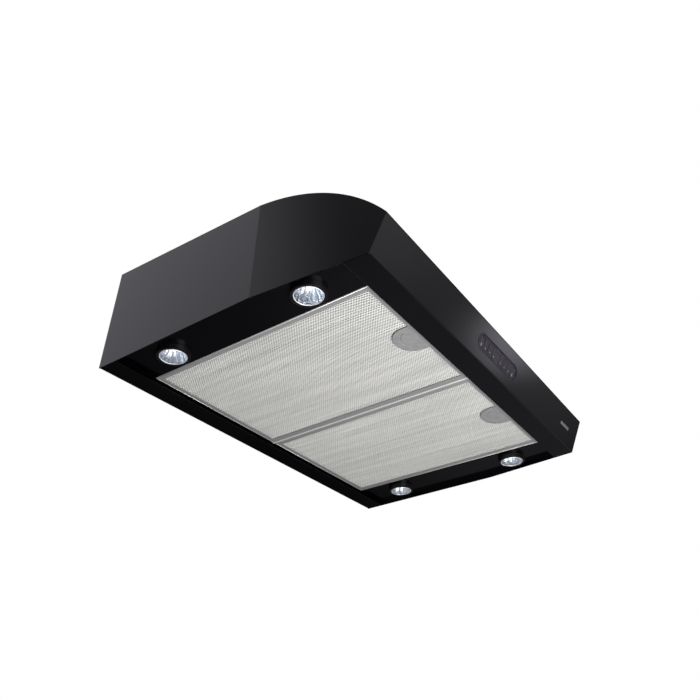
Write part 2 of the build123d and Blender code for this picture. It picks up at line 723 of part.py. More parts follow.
def blower_motor():
    """Motor can with a nose that holds the shaft."""
    can = wheel_bar(MOTOR_FACE - MOTOR_LENGTH, MOTOR_FACE - NOSE_LENGTH, MOTOR_RADIUS)
    can = fillet(can.edges().filter_by(GeomType.CIRCLE), MOTOR_ROUND)
    nose = wheel_bar(MOTOR_FACE - NOSE_LENGTH - 1, MOTOR_FACE, NOSE_RADIUS)
    well = wheel_bar(MOTOR_FACE - SHAFT_GRIP - 1, MOTOR_FACE + 1, SHAFT_RADIUS + RUNNING_CLEARANCE)
    return (can + nose) - well


def motor_bracket():
    """Three arms from the scroll's side to a band around the motor."""
    plate_end = -SCROLL_HALF
    band_start = MOTOR_FACE - BAND_OFFSET
    band_end = band_start + BAND_WIDTH
    thick = BAND_THICKNESS
    band = wheel_bar(band_start, band_end, MOTOR_RADIUS + thick)
    band -= wheel_bar(band_start, band_end, MOTOR_RADIUS)
    inner = MOTOR_RADIUS + thick / 2
    arm = span_box(band_start, plate_end, inner, inner + thick, -ARM_HALF, ARM_HALF)
    foot = span_box(plate_end - thick, plate_end, inner, inner + thick + ARM_FOOT, -ARM_HALF, ARM_HALF)
    centre = Pos(0, SCROLL_Y, SCROLL_Z)
    return band + [centre * Rot(turn, 0, 0) * (arm + foot) for turn in ARM_TURNS]


def run_capacitor():
    """Motor capacitor under the top panel."""
    radius, length = CAPACITOR_SIZE
    x, y = CAPACITOR_PLACE
    body = Pos(x, y, -SHEET - radius) * Rot(0, 90, 0) * Cylinder(radius, length)
    return fillet(body.edges().filter_by(GeomType.CIRCLE), 2 * SHEET)


# ---- Electrical box ----
def cable_bar(y0, y1, radius):
    """A round bar along the supply cable's line."""
    return Pos(CABLE_X, (y0 + y1) / 2, CABLE_Z) * Rot(90, 0, 0) * Cylinder(radius, y1 - y0)


def junction_box():
    """Five-sided box inside the back corner, over the cable hole."""
    width, deep, tall = JUNCTION_SIZE
    inside = WALL_Y - SHEET
    x0 = CABLE_X - width / 2
    x1 = CABLE_X + width / 2
    box = span_box(x0, x1, inside - deep, inside, -SHEET - tall, -SHEET)
    hollow = span_box(x0 + SHEET, x1 - SHEET, inside - 2 * deep, inside - SHEET, -tall, -2 * SHEET)
    return box - hollow - cable_bar(WALL_Y - deep / 2, WALL_Y, CABLE_HOLE)


def junction_cover():
    """Cover plate on the front of the electrical box."""
    width, deep, tall = JUNCTION_SIZE
    front = WALL_Y - SHEET - deep
    half = width / 2
    return span_box(CABLE_X - half, CABLE_X + half, front - SHEET, front, -SHEET - tall, -SHEET)


def cable_gland():
    """Bushing that clamps the supply cable in the back of the hood."""
    start = WALL_Y - GLAND_LENGTH
    nut_back = WALL_Y - 2 * SHEET - NUT_HEIGHT
    nut = extrude(RegularPolygon(NUT_RADIUS, 6), NUT_HEIGHT)
    nut = Pos(CABLE_X, nut_back, CABLE_Z) * Rot(-90, 0, 0) * nut
    return cable_bar(start, WALL_Y, CABLE_HOLE - PILL_FIT / 4) + nut - cable_bar(start, WALL_Y, GLAND_BORE)


def lamp_transformer():
    """Low-voltage transformer for the lamps, under the top panel."""
    x, y = TRANSFORMER_START
    width, length, height = TRANSFORMER_SIZE
    core = span_box(x, x + width, y, y + length, -SHEET - height, -SHEET)
    return fillet(core.edges().filter_by(Axis.Y), 3 * SHEET)


def write_parts():
    """Write one STEP file for each sub-part."""
    parts = {
        "top_panel": top_panel(),
        "front_cover": front_cover(),
        "front_fascia": front_fascia(),
        "rear_panel": rear_panel(),
        "bottom_pan": bottom_pan(),
        "filter_divider": filter_divider(),
        "hinge_brackets": hinge_brackets(),
        "control_bezel": control_bezel(),
        "control_board": control_board(),
        "control_box": control_box(),
        "badge": badge(),
        "duct_collar": duct_collar(),
        "damper_pin": damper_pin(),
        "damper_flap_front": damper_flap(-1),
        "damper_flap_rear": damper_flap(1),
        "blower_scroll": blower_scroll(),
        "fan_wheel": fan_wheel(),
        "motor_shaft": motor_shaft(),
        "blower_motor": blower_motor(),
        "motor_bracket": motor_bracket(),
        "run_capacitor": run_capacitor(),
        "junction_box": junction_box(),
        "junction_cover": junction_cover(),
        "cable_gland": cable_gland(),
        "lamp_transformer": lamp_transformer(),
    }
    for side, word in ((-1, "left"), (1, "right")):
        parts["side_panel_" + word] = side_panel(side)
        parts["blower_side_" + word] = blower_side(side)
        parts["filter_frame_" + word] = filter_frame(side)
        parts["filter_mesh_" + word] = filter_mesh(side)
        parts["filter_latch_" + word] = filter_latch(side)
    for number, (x, depth) in enumerate(LAMP_PLACES, start=1):
        parts["lamp_bezel_" + str(number)] = lamp_bezel(x, depth)
        parts["lamp_lens_" + str(number)] = lamp_lens(x, depth)
        parts["lamp_bulb_" + str(number)] = lamp_bulb(x, depth)
        parts["lamp_socket_" + str(number)] = lamp_socket(x, depth)
    for number, u in enumerate(KEY_PLACES, start=1):
        parts["control_key_" + str(number)] = control_key(u)
    os.makedirs("parts", exist_ok=True)
    for name, shape in parts.items():
        export_step(shape, "parts/" + name + ".step")


write_parts()
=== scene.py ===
import bpy
import json
import numpy as np
from math import cos, radians, sin, tau
from mathutils import Euler, Matrix, Vector


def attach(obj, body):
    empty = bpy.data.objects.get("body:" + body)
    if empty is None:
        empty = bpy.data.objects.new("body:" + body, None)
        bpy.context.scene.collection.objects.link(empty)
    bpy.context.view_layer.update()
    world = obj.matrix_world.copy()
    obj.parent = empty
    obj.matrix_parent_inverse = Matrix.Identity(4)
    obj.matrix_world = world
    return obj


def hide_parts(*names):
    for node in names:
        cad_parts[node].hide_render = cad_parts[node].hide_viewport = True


# Looks of an under cabinet range hood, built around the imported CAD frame. Metres, +Z up.
# The front of the hood faces -Y and the camera looks up at its left front corner.

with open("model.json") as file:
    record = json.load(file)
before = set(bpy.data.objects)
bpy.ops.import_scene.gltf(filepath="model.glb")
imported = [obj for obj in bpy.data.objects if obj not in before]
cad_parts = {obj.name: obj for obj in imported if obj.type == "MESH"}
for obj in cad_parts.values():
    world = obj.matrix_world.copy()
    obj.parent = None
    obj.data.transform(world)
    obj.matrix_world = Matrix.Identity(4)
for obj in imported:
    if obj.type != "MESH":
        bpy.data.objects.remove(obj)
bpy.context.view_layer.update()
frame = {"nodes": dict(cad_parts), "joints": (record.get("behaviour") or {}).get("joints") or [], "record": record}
nodes = frame["nodes"]
MM = 0.001
MICRON = 0.001 * MM

# ---- Directions: a latch slides along the underside, and a key slides into the fascia ----
joint_axis = {joint["name"]: Vector(joint["axis"]) for joint in frame["joints"]}
ACROSS = Vector((1, 0, 0))
REARWARD = joint_axis["latch_left_slide"]
OUTWARD = -joint_axis["key_1_press"]
UPRIGHT = Matrix.Identity(3)
UNDERSIDE = Matrix((ACROSS, REARWARD, ACROSS.cross(REARWARD))).transposed()
FASCIA = Matrix((ACROSS, OUTWARD.cross(ACROSS), OUTWARD)).transposed()


def corners(node, axes):
    """Every corner of a CAD node's mesh along three directions."""
    turned = axes.inverted()
    return [turned @ vertex.co for vertex in nodes[node].data.vertices]


def span(node, axes):
    """Lowest and highest corner of a CAD node along three directions."""
    points = corners(node, axes)
    low = Vector([min(point[i] for point in points) for i in range(3)])
    high = Vector([max(point[i] for point in points) for i in range(3)])
    return low, high


# ---- Node materials ----
NOISE_LOW = 0.3  # most of a noise texture's values lie between these two
NOISE_HIGH = 0.7


def set_input(node, name, value):
    """Set the fixed value of a node's input."""
    node.inputs[name].default_value = value


class Surface:
    """A Principled material under construction."""

    def __init__(self, name, **sockets):
        self.material = bpy.data.materials.new(name)
        self.material.use_nodes = True
        self.tree = self.material.node_tree
        self.shader = self.tree.nodes["Principled BSDF"]
        self.place = self.tree.nodes.new("ShaderNodeTexCoord").outputs["Object"]
        for socket, value in sockets.items():
            set_input(self.shader, socket.replace("_", " "), value)

    def join(self, output, node, name):
        """Link an output to a node's input."""
        self.tree.links.new(output, node.inputs[name])

    def scaled(self, size, stretch):
        """Coordinates counted in this size in metres, drawn out along the axes."""
        mapping = self.tree.nodes.new("ShaderNodeMapping")
        set_input(mapping, "Scale", [1 / (size * amount) for amount in stretch])
        self.join(self.place, mapping, "Vector")
        return mapping.outputs["Vector"]

    def noise(self, size, detail=3.0, stretch=(1, 1, 1)):
        """Noise with features of about this size."""
        texture = self.tree.nodes.new("ShaderNodeTexNoise")
        set_input(texture, "Scale", 1.0)
        set_input(texture, "Detail", detail)
        self.join(self.scaled(size, stretch), texture, "Vector")
        return texture.outputs["Fac"]

    def cells(self, size, stretch=(1, 1, 1), feature="F1", output="Color"):
        """Voronoi cells of about this size."""
        texture = self.tree.nodes.new("ShaderNodeTexVoronoi")
        texture.feature = feature
        set_input(texture, "Scale", 1.0)
        self.join(self.scaled(size, stretch), texture, "Vector")
        return texture.outputs[output]

    def shades(self, factor, dark, light, low=0.35, high=0.65):
        """Base colour between two shades."""
        ramp = self.tree.nodes.new("ShaderNodeValToRGB")
        ramp.color_ramp.elements[0].position = low
        ramp.color_ramp.elements[0].color = (*dark, 1)
        ramp.color_ramp.elements[1].position = high
        ramp.color_ramp.elements[1].color = (*light, 1)
        self.join(factor, ramp, "Fac")
        self.join(ramp.outputs["Color"], self.shader, "Base Color")

    def gloss(self, factor, low, high):
        """Uneven roughness."""
        scale = self.tree.nodes.new("ShaderNodeMapRange")
        set_input(scale, "From Min", NOISE_LOW)
        set_input(scale, "From Max", NOISE_HIGH)
        set_input(scale, "To Min", low)
        set_input(scale, "To Max", high)
        self.join(factor, scale, "Value")
        self.join(scale.outputs["Result"], self.shader, "Roughness")

    def relief(self, factor, height):
        """Fine relief, its height in metres."""
        bump = self.tree.nodes.new("ShaderNodeBump")
        set_input(bump, "Strength", 1.0)
        set_input(bump, "Distance", height)
        self.join(factor, bump, "Height")
        self.join(bump.outputs["Normal"], self.shader, "Normal")


def grey(level):
    """A neutral colour."""
    return level, level, level


def enamel(name, dark, light, specular):
    """Baked enamel on sheet steel: faint orange peel, slightly uneven colour and gloss."""
    made = Surface(name, Specular_IOR_Level=specular)
    made.shades(made.noise(120 * MM, detail=4), dark, light)
    made.gloss(made.noise(200 * MM, detail=2), 0.12, 0.15)
    made.relief(made.noise(1.6 * MM, detail=1), 2 * MICRON)
    return made.material


def aluminium(name, dark, light, rough, stretch, metallic=1.0):
    """Rolled aluminium with draw marks along it."""
    made = Surface(name, Metallic=metallic)
    marks = made.noise(0.7 * MM, detail=4, stretch=stretch)
    made.shades(marks, dark, light, NOISE_LOW, NOISE_HIGH)
    made.gloss(made.noise(6 * MM, detail=4, stretch=stretch), *rough)
    made.relief(marks, 8 * MICRON)
    return made.material


def mesh_metal(name, dark, light):
    """Thin aluminium strands, brighter and duller in long bands from back to front; the lighter and darker colour
    of the bands is painted highlight and shade, like the light on the folds.
    """
    made = Surface(name, Metallic=0.22)
    bands = made.noise(12 * MM, stretch=(1, 30, 1))
    # Lighter and darker bands of colour: painted highlight and shade, like the light on the folds.
    made.shades(bands, dark, light, NOISE_LOW, NOISE_HIGH)
    made.gloss(bands, 0.45, 0.51)
    made.relief(made.noise(0.7 * MM, detail=4, stretch=(1, 60, 1)), 8 * MICRON)
    return made.material


def zinc(name, dark, light):
    """Galvanised steel with its spangle."""
    made = Surface(name, Metallic=0.85)
    spangle = made.cells(4 * MM)
    made.shades(spangle, dark, light, low=0.1, high=0.9)
    made.gloss(spangle, 0.5, 0.6)
    made.relief(made.noise(1.2 * MM), 6 * MICRON)
    return made.material


def plastic(name, dark, light, rough, grain=0.5 * MM, height=12 * MICRON):
    """Moulded plastic with a fine spark-eroded grain."""
    made = Surface(name, Specular_IOR_Level=0.4)
    made.shades(made.noise(9 * MM), dark, light)
    made.gloss(made.noise(3 * MM), *rough)
    made.relief(made.noise(grain, detail=2), height)
    return made.material


def turned_steel(name, dark, light):
    """Ground steel rod with rings around it."""
    made = Surface(name, Metallic=1.0)
    rings = made.noise(0.4 * MM, stretch=(1, 40, 40))
    made.shades(rings, dark, light)
    made.gloss(rings, 0.18, 0.34)
    made.relief(rings, 4 * MICRON)
    return made.material


def lacquered_board(name, copper, lacquer):
    """Green lacquer over copper tracks."""
    made = Surface(name, Specular_IOR_Level=0.5)
    tracks = made.cells(5 * MM, stretch=(1, 2.5, 1), feature="DISTANCE_TO_EDGE", output="Distance")
    made.shades(tracks, copper, lacquer, low=0.04, high=0.07)
    made.gloss(made.noise(5 * MM), 0.25, 0.4)
    made.relief(tracks, 40 * MICRON)
    return made.material


def ceramic(name, dark, light):
    """Unglazed steatite."""
    made = Surface(name, Specular_IOR_Level=0.3)
    made.shades(made.noise(4 * MM, detail=5), dark, light)
    made.gloss(made.noise(2 * MM), 0.65, 0.85)
    made.relief(made.noise(0.5 * MM, detail=4), 30 * MICRON)
    return made.material


def clear_glass(name):
    """Front glass with faint ripples."""
    made = Surface(name, Transmission_Weight=1.0, IOR=1.45, Base_Color=(0.97, 0.985, 1.0, 1))
    made.gloss(made.noise(6 * MM), 0.0, 0.03)
    made.relief(made.noise(7 * MM, detail=2), 20 * MICRON)
    return made.material


def silvering(name, dark, light):
    """Cool dichroic mirror coat on the lamp's facets."""
    made = Surface(name, Metallic=1.0)
    made.shades(made.noise(5 * MM, detail=2), dark, light)
    made.gloss(made.noise(4 * MM), 0.26, 0.34)
    made.relief(made.noise(4 * MM), 10 * MICRON)
    return made.material


def frosted_glow(name, strength):
    """Frosted glass with a weak warm-white glow."""
    made = Surface(name, Emission_Color=(1.0, 0.98, 0.95, 1), Emission_Strength=strength)
    made.shades(made.noise(2 * MM), (0.80, 0.80, 0.78), (0.9, 0.9, 0.88))
    made.gloss(made.noise(1 * MM), 0.2, 0.35)
    return made.material


# One material for each of the record's slots
MATERIALS = {
    "black_enamel": enamel("black_enamel", (0.0007, 0.0006, 0.0009), (0.0013, 0.0011, 0.0015), 0.32),
    "filter_aluminium": aluminium(
        "filter_aluminium", grey(0.36), grey(0.44), rough=(0.42, 0.55), stretch=(1, 30, 1), metallic=0.6
    ),
    "grease_mesh": mesh_metal("grease_mesh", (0.56, 0.56, 0.54), (0.71, 0.71, 0.68)),
    "latch_plastic": plastic("latch_plastic", (0.19, 0.19, 0.193), (0.22, 0.22, 0.223), (0.42, 0.52)),
    "lamp_trim": plastic(
        "lamp_trim",
        (0.002, 0.002, 0.0025),
        (0.004, 0.004, 0.005),
        rough=(0.36, 0.42),
        grain=1.5 * MM,
        height=4 * MICRON,
    ),
    "lamp_glass": clear_glass("lamp_glass"),
    "lamp_reflector": silvering("lamp_reflector", (0.38, 0.41, 0.46), (0.54, 0.57, 0.62)),
    "lamp_ceramic": ceramic("lamp_ceramic", (0.62, 0.59, 0.52), (0.78, 0.76, 0.70)),
    "control_surround": plastic(
        "control_surround",
        (0.014, 0.012, 0.017),
        (0.022, 0.019, 0.026),
        rough=(0.25, 0.35),
        grain=1 * MM,
        height=5 * MICRON,
    ),
    "key_plastic": plastic("key_plastic", (0.018, 0.016, 0.021), (0.026, 0.023, 0.030), (0.35, 0.45)),
    "circuit_board": lacquered_board("circuit_board", (0.10, 0.26, 0.08), (0.02, 0.11, 0.04)),
    "box_plastic": plastic("box_plastic", (0.05, 0.05, 0.052), (0.075, 0.075, 0.078), (0.5, 0.65)),
    "badge_metal": aluminium(
        "badge_metal", (0.70, 0.70, 0.71), (0.84, 0.84, 0.85), rough=(0.25, 0.35), stretch=(30, 1, 1)
    ),
    "galvanised_steel": zinc("galvanised_steel", (0.38, 0.39, 0.40), (0.48, 0.49, 0.50)),
    "bright_steel": turned_steel("bright_steel", (0.42, 0.42, 0.43), (0.62, 0.62, 0.63)),
    "wheel_steel": zinc("wheel_steel", (0.44, 0.45, 0.46), (0.54, 0.55, 0.56)),
    "motor_paint": enamel("motor_paint", (0.035, 0.035, 0.038), (0.05, 0.05, 0.054), 0.5),
    "capacitor_can": aluminium(
        "capacitor_can", grey(0.6), grey(0.75), rough=(0.22, 0.35), stretch=(40, 1, 1)
    ),
    "gland_plastic": plastic("gland_plastic", (0.68, 0.68, 0.65), (0.76, 0.76, 0.73), (0.45, 0.6)),
    "transformer_case": plastic(
        "transformer_case", (0.05, 0.05, 0.055), (0.07, 0.07, 0.078), (0.5, 0.62)
    ),
}

# Materials of the pieces that look different from the rest of their slot
# The divider is the frame's aluminium, made lighter and less metallic: a painted highlight along the bar.
DIVIDER_HIGHLIGHT_MATERIAL = aluminium(
    "divider_painted_highlight",
    (0.58, 0.58, 0.57),
    (0.68, 0.68, 0.66),
    rough=(0.4, 0.5),
    stretch=(1, 30, 1),
    metallic=0.2,
)
# A dark aluminium sheet inside the mesh, where there is only shade: painted shade seen through the holes.
SHADE_SHEET_MATERIAL = aluminium(
    "mesh_painted_shade",
    (0.20, 0.20, 0.195),
    (0.27, 0.27, 0.265),
    rough=(0.45, 0.6),
    stretch=(1, 60, 1),
    metallic=0.5,
)
# The hems are the frame's aluminium made much lighter: a painted highlight along its rolled edges.
HEM_HIGHLIGHT_MATERIAL = aluminium(
    "hem_painted_highlight",
    (0.62, 0.62, 0.61),
    (0.76, 0.76, 0.74),
    rough=(0.35, 0.45),
    stretch=(1, 30, 1),
    metallic=0.3,
)
RING_MATERIAL = aluminium(
    "retaining_ring",
    (0.72, 0.73, 0.75),
    (0.84, 0.85, 0.87),
    rough=(0.25, 0.35),
    stretch=(1, 1, 1),
    metallic=0.35,
)
CAPSULE_MATERIAL = frosted_glow("capsule_glow", strength=4.0)

# ---- CAD nodes ----
# The divider takes the lighter aluminium that paints its highlight.
NODE_MATERIALS = {"filter_divider": DIVIDER_HIGHLIGHT_MATERIAL}
WELD_DISTANCE = 0.005 * MM
FLAT_ANGLE = radians(0.5)  # faces that are closer to one plane than this are joined
EDGE_ANGLE = radians(40)  # edges that turn more than this are rounded
EDGE_ROUND = 0.3 * MM
TRIM_ROUND = 1.0 * MM
EDGE_SEGMENTS = 2


def dress_cad_nodes():
    """Each CAD node gets its own material or its slot's, and slightly rounded edges."""
    for row in frame["record"]["subparts"]:
        node = nodes[row["node"]]
        slot = row["material_slot"]
        node.data.materials.clear()
        node.data.materials.append(NODE_MATERIALS.get(row["node"], MATERIALS[slot]))
        weld = node.modifiers.new("weld", "WELD")
        weld.merge_threshold = WELD_DISTANCE
        flats = node.modifiers.new("flats", "DECIMATE")
        flats.decimate_type = "DISSOLVE"
        flats.angle_limit = FLAT_ANGLE
        rounding = node.modifiers.new("rounding", "BEVEL")
        rounding.width = TRIM_ROUND if slot == "lamp_trim" else EDGE_ROUND
        rounding.segments = EDGE_SEGMENTS
        rounding.limit_method = "ANGLE"
        rounding.angle_limit = EDGE_ANGLE
        shading = node.modifiers.new("shading", "WEIGHTED_NORMAL")
        shading.keep_sharp = True


# ---- New pieces ----
AXIS_RADIUS = 0.05 * MM  # turned pieces stop this close to their axis
ROUND_STEPS = 48  # around a round piece
DOME_STEPS = 5  # from a dome's rim to its top


def add_piece(name, mesh, slot, body, smooth=False, material=None):
    """An object from a mesh in the frame, with its slot's material or another, riding on a body."""
    piece = bpy.data.objects.new(name, mesh)
    bpy.context.scene.collection.objects.link(piece)
    mesh.materials.append(material or MATERIALS[slot])
    for polygon in mesh.polygons:
        polygon.use_smooth = smooth
    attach(piece, body)
    return piece


def mesh_of(name, points, faces, axes):
    """A mesh from points that are given along three directions."""
    mesh = bpy.data.meshes.new(name)
    placed = np.asarray(points) @ np.array(axes).T
    mesh.from_pydata(placed.tolist(), [], faces)
    mesh.validate()
    mesh.update()
    return mesh


def turned_mesh(name, profile, centre, steps, flute=0.0, axes=UNDERSIDE):
    """A closed mesh: a loop of (radius, level) points turned about the third of three directions."""
    points = []
    for step in range(steps):
        angle = tau * step / steps
        for wide, level in profile:
            radius = wide * (1 - flute * (step % 2))
            points.append((centre.x + radius * cos(angle), centre.y + radius * sin(angle), level))
    count = len(profile)
    faces = []
    for step in range(steps):
        base = step * count
        following = (step + 1) % steps * count
        for i in range(count):
            j = (i + 1) % count
            faces.append((base + i, following + i, following + j, base + j))
    return mesh_of(name, points, faces, axes)


# ---- Grease mesh ----
LONG_WAY = 6.2 * MM  # a diamond's size across the hood
SHORT_WAY = 4.4 * MM  # and from back to front
STRAND_WIDTH = 1.1 * MM
STRAND_THICKNESS = 0.35 * MM
STRAND_TILT = radians(-19)
STRAND_LIFT = 0.12 * MM
LAYER_SHARES = (0.09, 0.78)  # levels of the two expanded sheets, as shares of the pack's thickness
# The sheet between them is dark: painted shade deep in the pack.
SHADE_SHEET_SHARE = 0.55  # and the level of the sheet between them
SHADE_SHEET_THICKNESS = 0.4 * MM
SHADE_SHEET_GRID = (240, 24)  # points across and from front to back
SIDE_MARGIN = 1 * MM  # corners of the CAD mesh farther in than this are the tongue gap's

# Shallow folds that run from back to front. Their places, leans and depths follow three waves,
# whose rates are in radians from one fold to the next.
CREASE_COUNT = 13
CREASE_WIDTH = 2.8 * MM
CREASE_DEPTH = 0.9 * MM
CREASE_WANDER = 0.3  # sideways, as a share of the space between folds
CREASE_LEAN = 0.03  # sideways, as a share of the length
CREASE_UNEVEN = 0.4  # share of the depth
WANDER_RATE = 2.4
LEAN_RATE = 5.1
DEPTH_RATE = 3.7


def crease(x, y, low, high):
    """Height of the folds at a place on a filter."""
    height = 0.0
    for number in range(CREASE_COUNT):
        wander = CREASE_WANDER * sin(WANDER_RATE * number)
        start = low.x + (high.x - low.x) * (number + 0.5 + wander) / CREASE_COUNT
        line = start + CREASE_LEAN * sin(LEAN_RATE * number) * (y - low.y)
        depth = CREASE_DEPTH * (1 - CREASE_UNEVEN + CREASE_UNEVEN * sin(DEPTH_RATE * number))
        height = height + depth * np.exp(-(((x - line) / CREASE_WIDTH) ** 2))
    return height


def tongue_gap(node):
    """The gap in a filter's mesh around the latch tongue: its left, right and rear ends."""
    low, high = span(node, UNDERSIDE)
    left = low.x + SIDE_MARGIN
    right = high.x - SIDE_MARGIN
    inner = [point for point in corners(node, UNDERSIDE) if left < point.x < right]
    across = [point.x for point in inner]
    return min(across), max(across), max(point.y for point in inner)


def strand_section():
    """Corners of a strand's flat, tilted section, as offsets backward and upward."""
    flat = Vector((cos(STRAND_TILT), sin(STRAND_TILT))) * STRAND_WIDTH / 2
    thick = Vector((-sin(STRAND_TILT), cos(STRAND_TILT))) * STRAND_THICKNESS / 2
    return [flat + thick, flat - thick, -flat - thick, -flat + thick]


def add_strand(points, faces, line, section):
    """Add one closed strand along a line of (across, back, up) points to a mesh's points and faces."""
    count = len(section)
    base = len(points)
    for across, back, up in line:
        points += [(across, back + corner.x, up + corner.y) for corner in section]
    last = len(points) - count
    for link in range(base, last, count):
        for i in range(count):
            j = (i + 1) % count
            faces.append((link + i, link + j, link + count + j, link + count + i))
    faces.append(tuple(reversed(range(base, base + count))))
    faces.append(tuple(range(last, last + count)))


def expanded_sheet(low, high, level, gap, turn):
    """Points and faces of one expanded sheet: zigzag strands that meet at every second corner."""
    columns = round(2 * (high.x - low.x) / LONG_WAY)
    rows = round(2 * (high.y - low.y) / SHORT_WAY)
    step_x = (high.x - low.x) / columns
    step_y = (high.y - low.y) / rows
    gap_left, gap_right, gap_rear = gap
    before_gap = int((gap_left - low.x) / step_x)
    after_gap = int((gap_right - low.x) / step_x) + 1
    section = strand_section()
    points = []
    faces = []
    for row in range(rows):
        middle = low.y + (row + 0.5) * step_y
        crosses_gap = middle < gap_rear + step_y
        runs = [(0, before_gap), (after_gap, columns)] if crosses_gap else [(0, columns)]
        for start, end in runs:
            column = np.arange(start, end + 1)
            zigzag = turn * (1 - 2 * ((column + row) % 2))
            x = low.x + column * step_x
            y = middle + zigzag * step_y / 2
            z = level + zigzag * STRAND_LIFT + crease(x, y, low, high)
            add_strand(points, faces, zip(x, y, z), section)
    return points, faces


def painted_shade_sheet(low, high, level):
    """Points and faces of the dark closed sheet between the expanded ones, with the same folds: painted shade that
    shows through the holes.
    """
    wide, deep = SHADE_SHEET_GRID
    points = []
    for thickness in (0.0, SHADE_SHEET_THICKNESS):
        for y in np.linspace(low.y, high.y, deep):
            for x in np.linspace(low.x, high.x, wide):
                points.append((x, y, level + thickness + crease(x, y, low, high)))
    layer = wide * deep
    faces = []
    for row in range(deep - 1):
        for column in range(wide - 1):
            corner = row * wide + column
            quad = (corner, corner + 1, corner + wide + 1, corner + wide)
            faces.append(tuple(reversed(quad)))
            faces.append(tuple(index + layer for index in quad))
    rim = list(range(wide))
    rim += [row * wide + wide - 1 for row in range(1, deep)]
    rim += [layer - 1 - column for column in range(1, wide)]
    rim += [row * wide for row in range(deep - 2, 0, -1)]
    for start, end in zip(rim, rim[1:] + rim[:1]):
        faces.append((start, end, end + layer, start + layer))
    return points, faces


def add_grease_mesh(side):
    """The filter's two expanded sheets and a dark sheet of painted shade between them, in place of its plain CAD
    layers.
    """
    node = "filter_mesh_" + side
    body = "filter_" + side
    low, high = span(node, UNDERSIDE)
    gap = tongue_gap(node)
    thickness = high.z - low.z
    turn = 1
    for number, share in enumerate(LAYER_SHARES, start=1):
        points, faces = expanded_sheet(low, high, low.z + share * thickness, gap, turn)
        name = "expanded_sheet_" + side + "_" + str(number)
        sheet = add_piece(name, mesh_of(name, points, faces, UNDERSIDE), "grease_mesh", body)
        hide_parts(node)
        turn = -turn
    points, faces = painted_shade_sheet(low, high, low.z + SHADE_SHEET_SHARE * thickness)
    name = "mesh_painted_shade_" + side
    mesh = mesh_of(name, points, faces, UNDERSIDE)
    # dark sheet: painted shade
    add_piece(name, mesh, "grease_mesh", body, smooth=True, material=SHADE_SHEET_MATERIAL)


# ---- Hems of the filter frames, lighter than the frames as a painted highlight ----
HEM_RADIUS = 0.65 * MM
HEM_INSET = 0.9 * MM
HEM_SIDES = 8


def hem_mesh(name, start, end):
    """A straight rod between two points that are given along the underside's directions."""
    run = (end - start).normalized()
    aside = run.cross(Vector((0, 0, 1))).normalized() * HEM_RADIUS
    up = Vector((0, 0, HEM_RADIUS))
    points = []
    for place in (start, end):
        for step in range(HEM_SIDES):
            angle = tau * step / HEM_SIDES
            points.append(tuple(place + aside * cos(angle) + up * sin(angle)))
    faces = [tuple(range(HEM_SIDES)), tuple(range(2 * HEM_SIDES - 1, HEM_SIDES - 1, -1))]
    for i in range(HEM_SIDES):
        j = (i + 1) % HEM_SIDES
        faces.append((j, i, HEM_SIDES + i, HEM_SIDES + j))
    return mesh_of(name, points, faces, UNDERSIDE)


def add_hems(side):
    """Rolled edges of a filter frame, except beside the divider, in a lighter aluminium than the frame's: a
    painted highlight.
    """
    low, high = span("filter_mesh_" + side, UNDERSIDE)
    level = span("filter_frame_" + side, UNDERSIDE)[0].z + HEM_RADIUS / 2
    left = low.x + HEM_INSET
    right = high.x - HEM_INSET
    front = low.y + HEM_INSET
    rear = high.y - HEM_INSET
    outer = left if side == "left" else right
    runs = {
        "front": (Vector((left, front, level)), Vector((right, front, level))),
        "rear": (Vector((left, rear, level)), Vector((right, rear, level))),
        "outer": (Vector((outer, front, level)), Vector((outer, rear, level))),
    }
    for place, (start, end) in runs.items():
        name = "hem_" + side + "_" + place
        mesh = hem_mesh(name, start, end)
        # lighter than the frame: painted highlight
        add_piece(name, mesh, "filter_aluminium", "filter_" + side, smooth=True, material=HEM_HIGHLIGHT_MATERIAL)


# ---- Lamps ----
LAMP_NUMBERS = (1, 2, 3, 4)
FACET_COLUMNS = 36
FACET_RINGS = 7
FLUTE_SHARE = 0.04  # how far every second facet line stands inward, as a share of its radius
BOWL_WALL = 0.8 * MM
BOWL_SHARE = 0.63  # the bowl's share of the bulb's height, the rest is its base
BOWL_POWER = 1.6  # 1 would be a cone, and more bulges outward
NECK_RADIUS = 8.5 * MM
BORE_RADIUS = 3.6 * MM  # the hole in the base that holds the capsule
CAPSULE_RADIUS = 0.95 * BORE_RADIUS
CAPSULE_LENGTH = 15 * MM  # in front of the base
CAPSULE_INSET = 1 * MM  # from the base's rear end
RING_RADIUS = 0.65 * MM
RING_INSET = 2.23 * MM  # from the lens's edge to the middle of the ring
RING_SIDES = 12


def bowl_curve(mouth, neck, bottom, top):
    """(radius, level) points of the bowl from its mouth to its neck."""
    curve = []
    for step in range(FACET_RINGS + 1):
        share = step / FACET_RINGS
        curve.append((mouth - (mouth - neck) * share**BOWL_POWER, bottom + (top - bottom) * share))
    return curve


def add_reflector(number, low, high, top):
    """Faceted bowl and base of one lamp, in place of its plain CAD bulb."""
    mouth = (high.x - low.x) / 2
    inside = bowl_curve(mouth - BOWL_WALL, NECK_RADIUS - BOWL_WALL, low.z, top)
    outside = bowl_curve(mouth, NECK_RADIUS, low.z, top + BOWL_WALL)
    base = [(NECK_RADIUS, high.z), (BORE_RADIUS, high.z), (BORE_RADIUS, top)]
    name = "reflector_" + str(number)
    profile = inside[::-1] + outside + base
    mesh = turned_mesh(name, profile, (low + high) / 2, FACET_COLUMNS, FLUTE_SHARE)
    reflector = add_piece(name, mesh, "lamp_reflector", "hood")
    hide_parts("lamp_bulb_" + str(number))


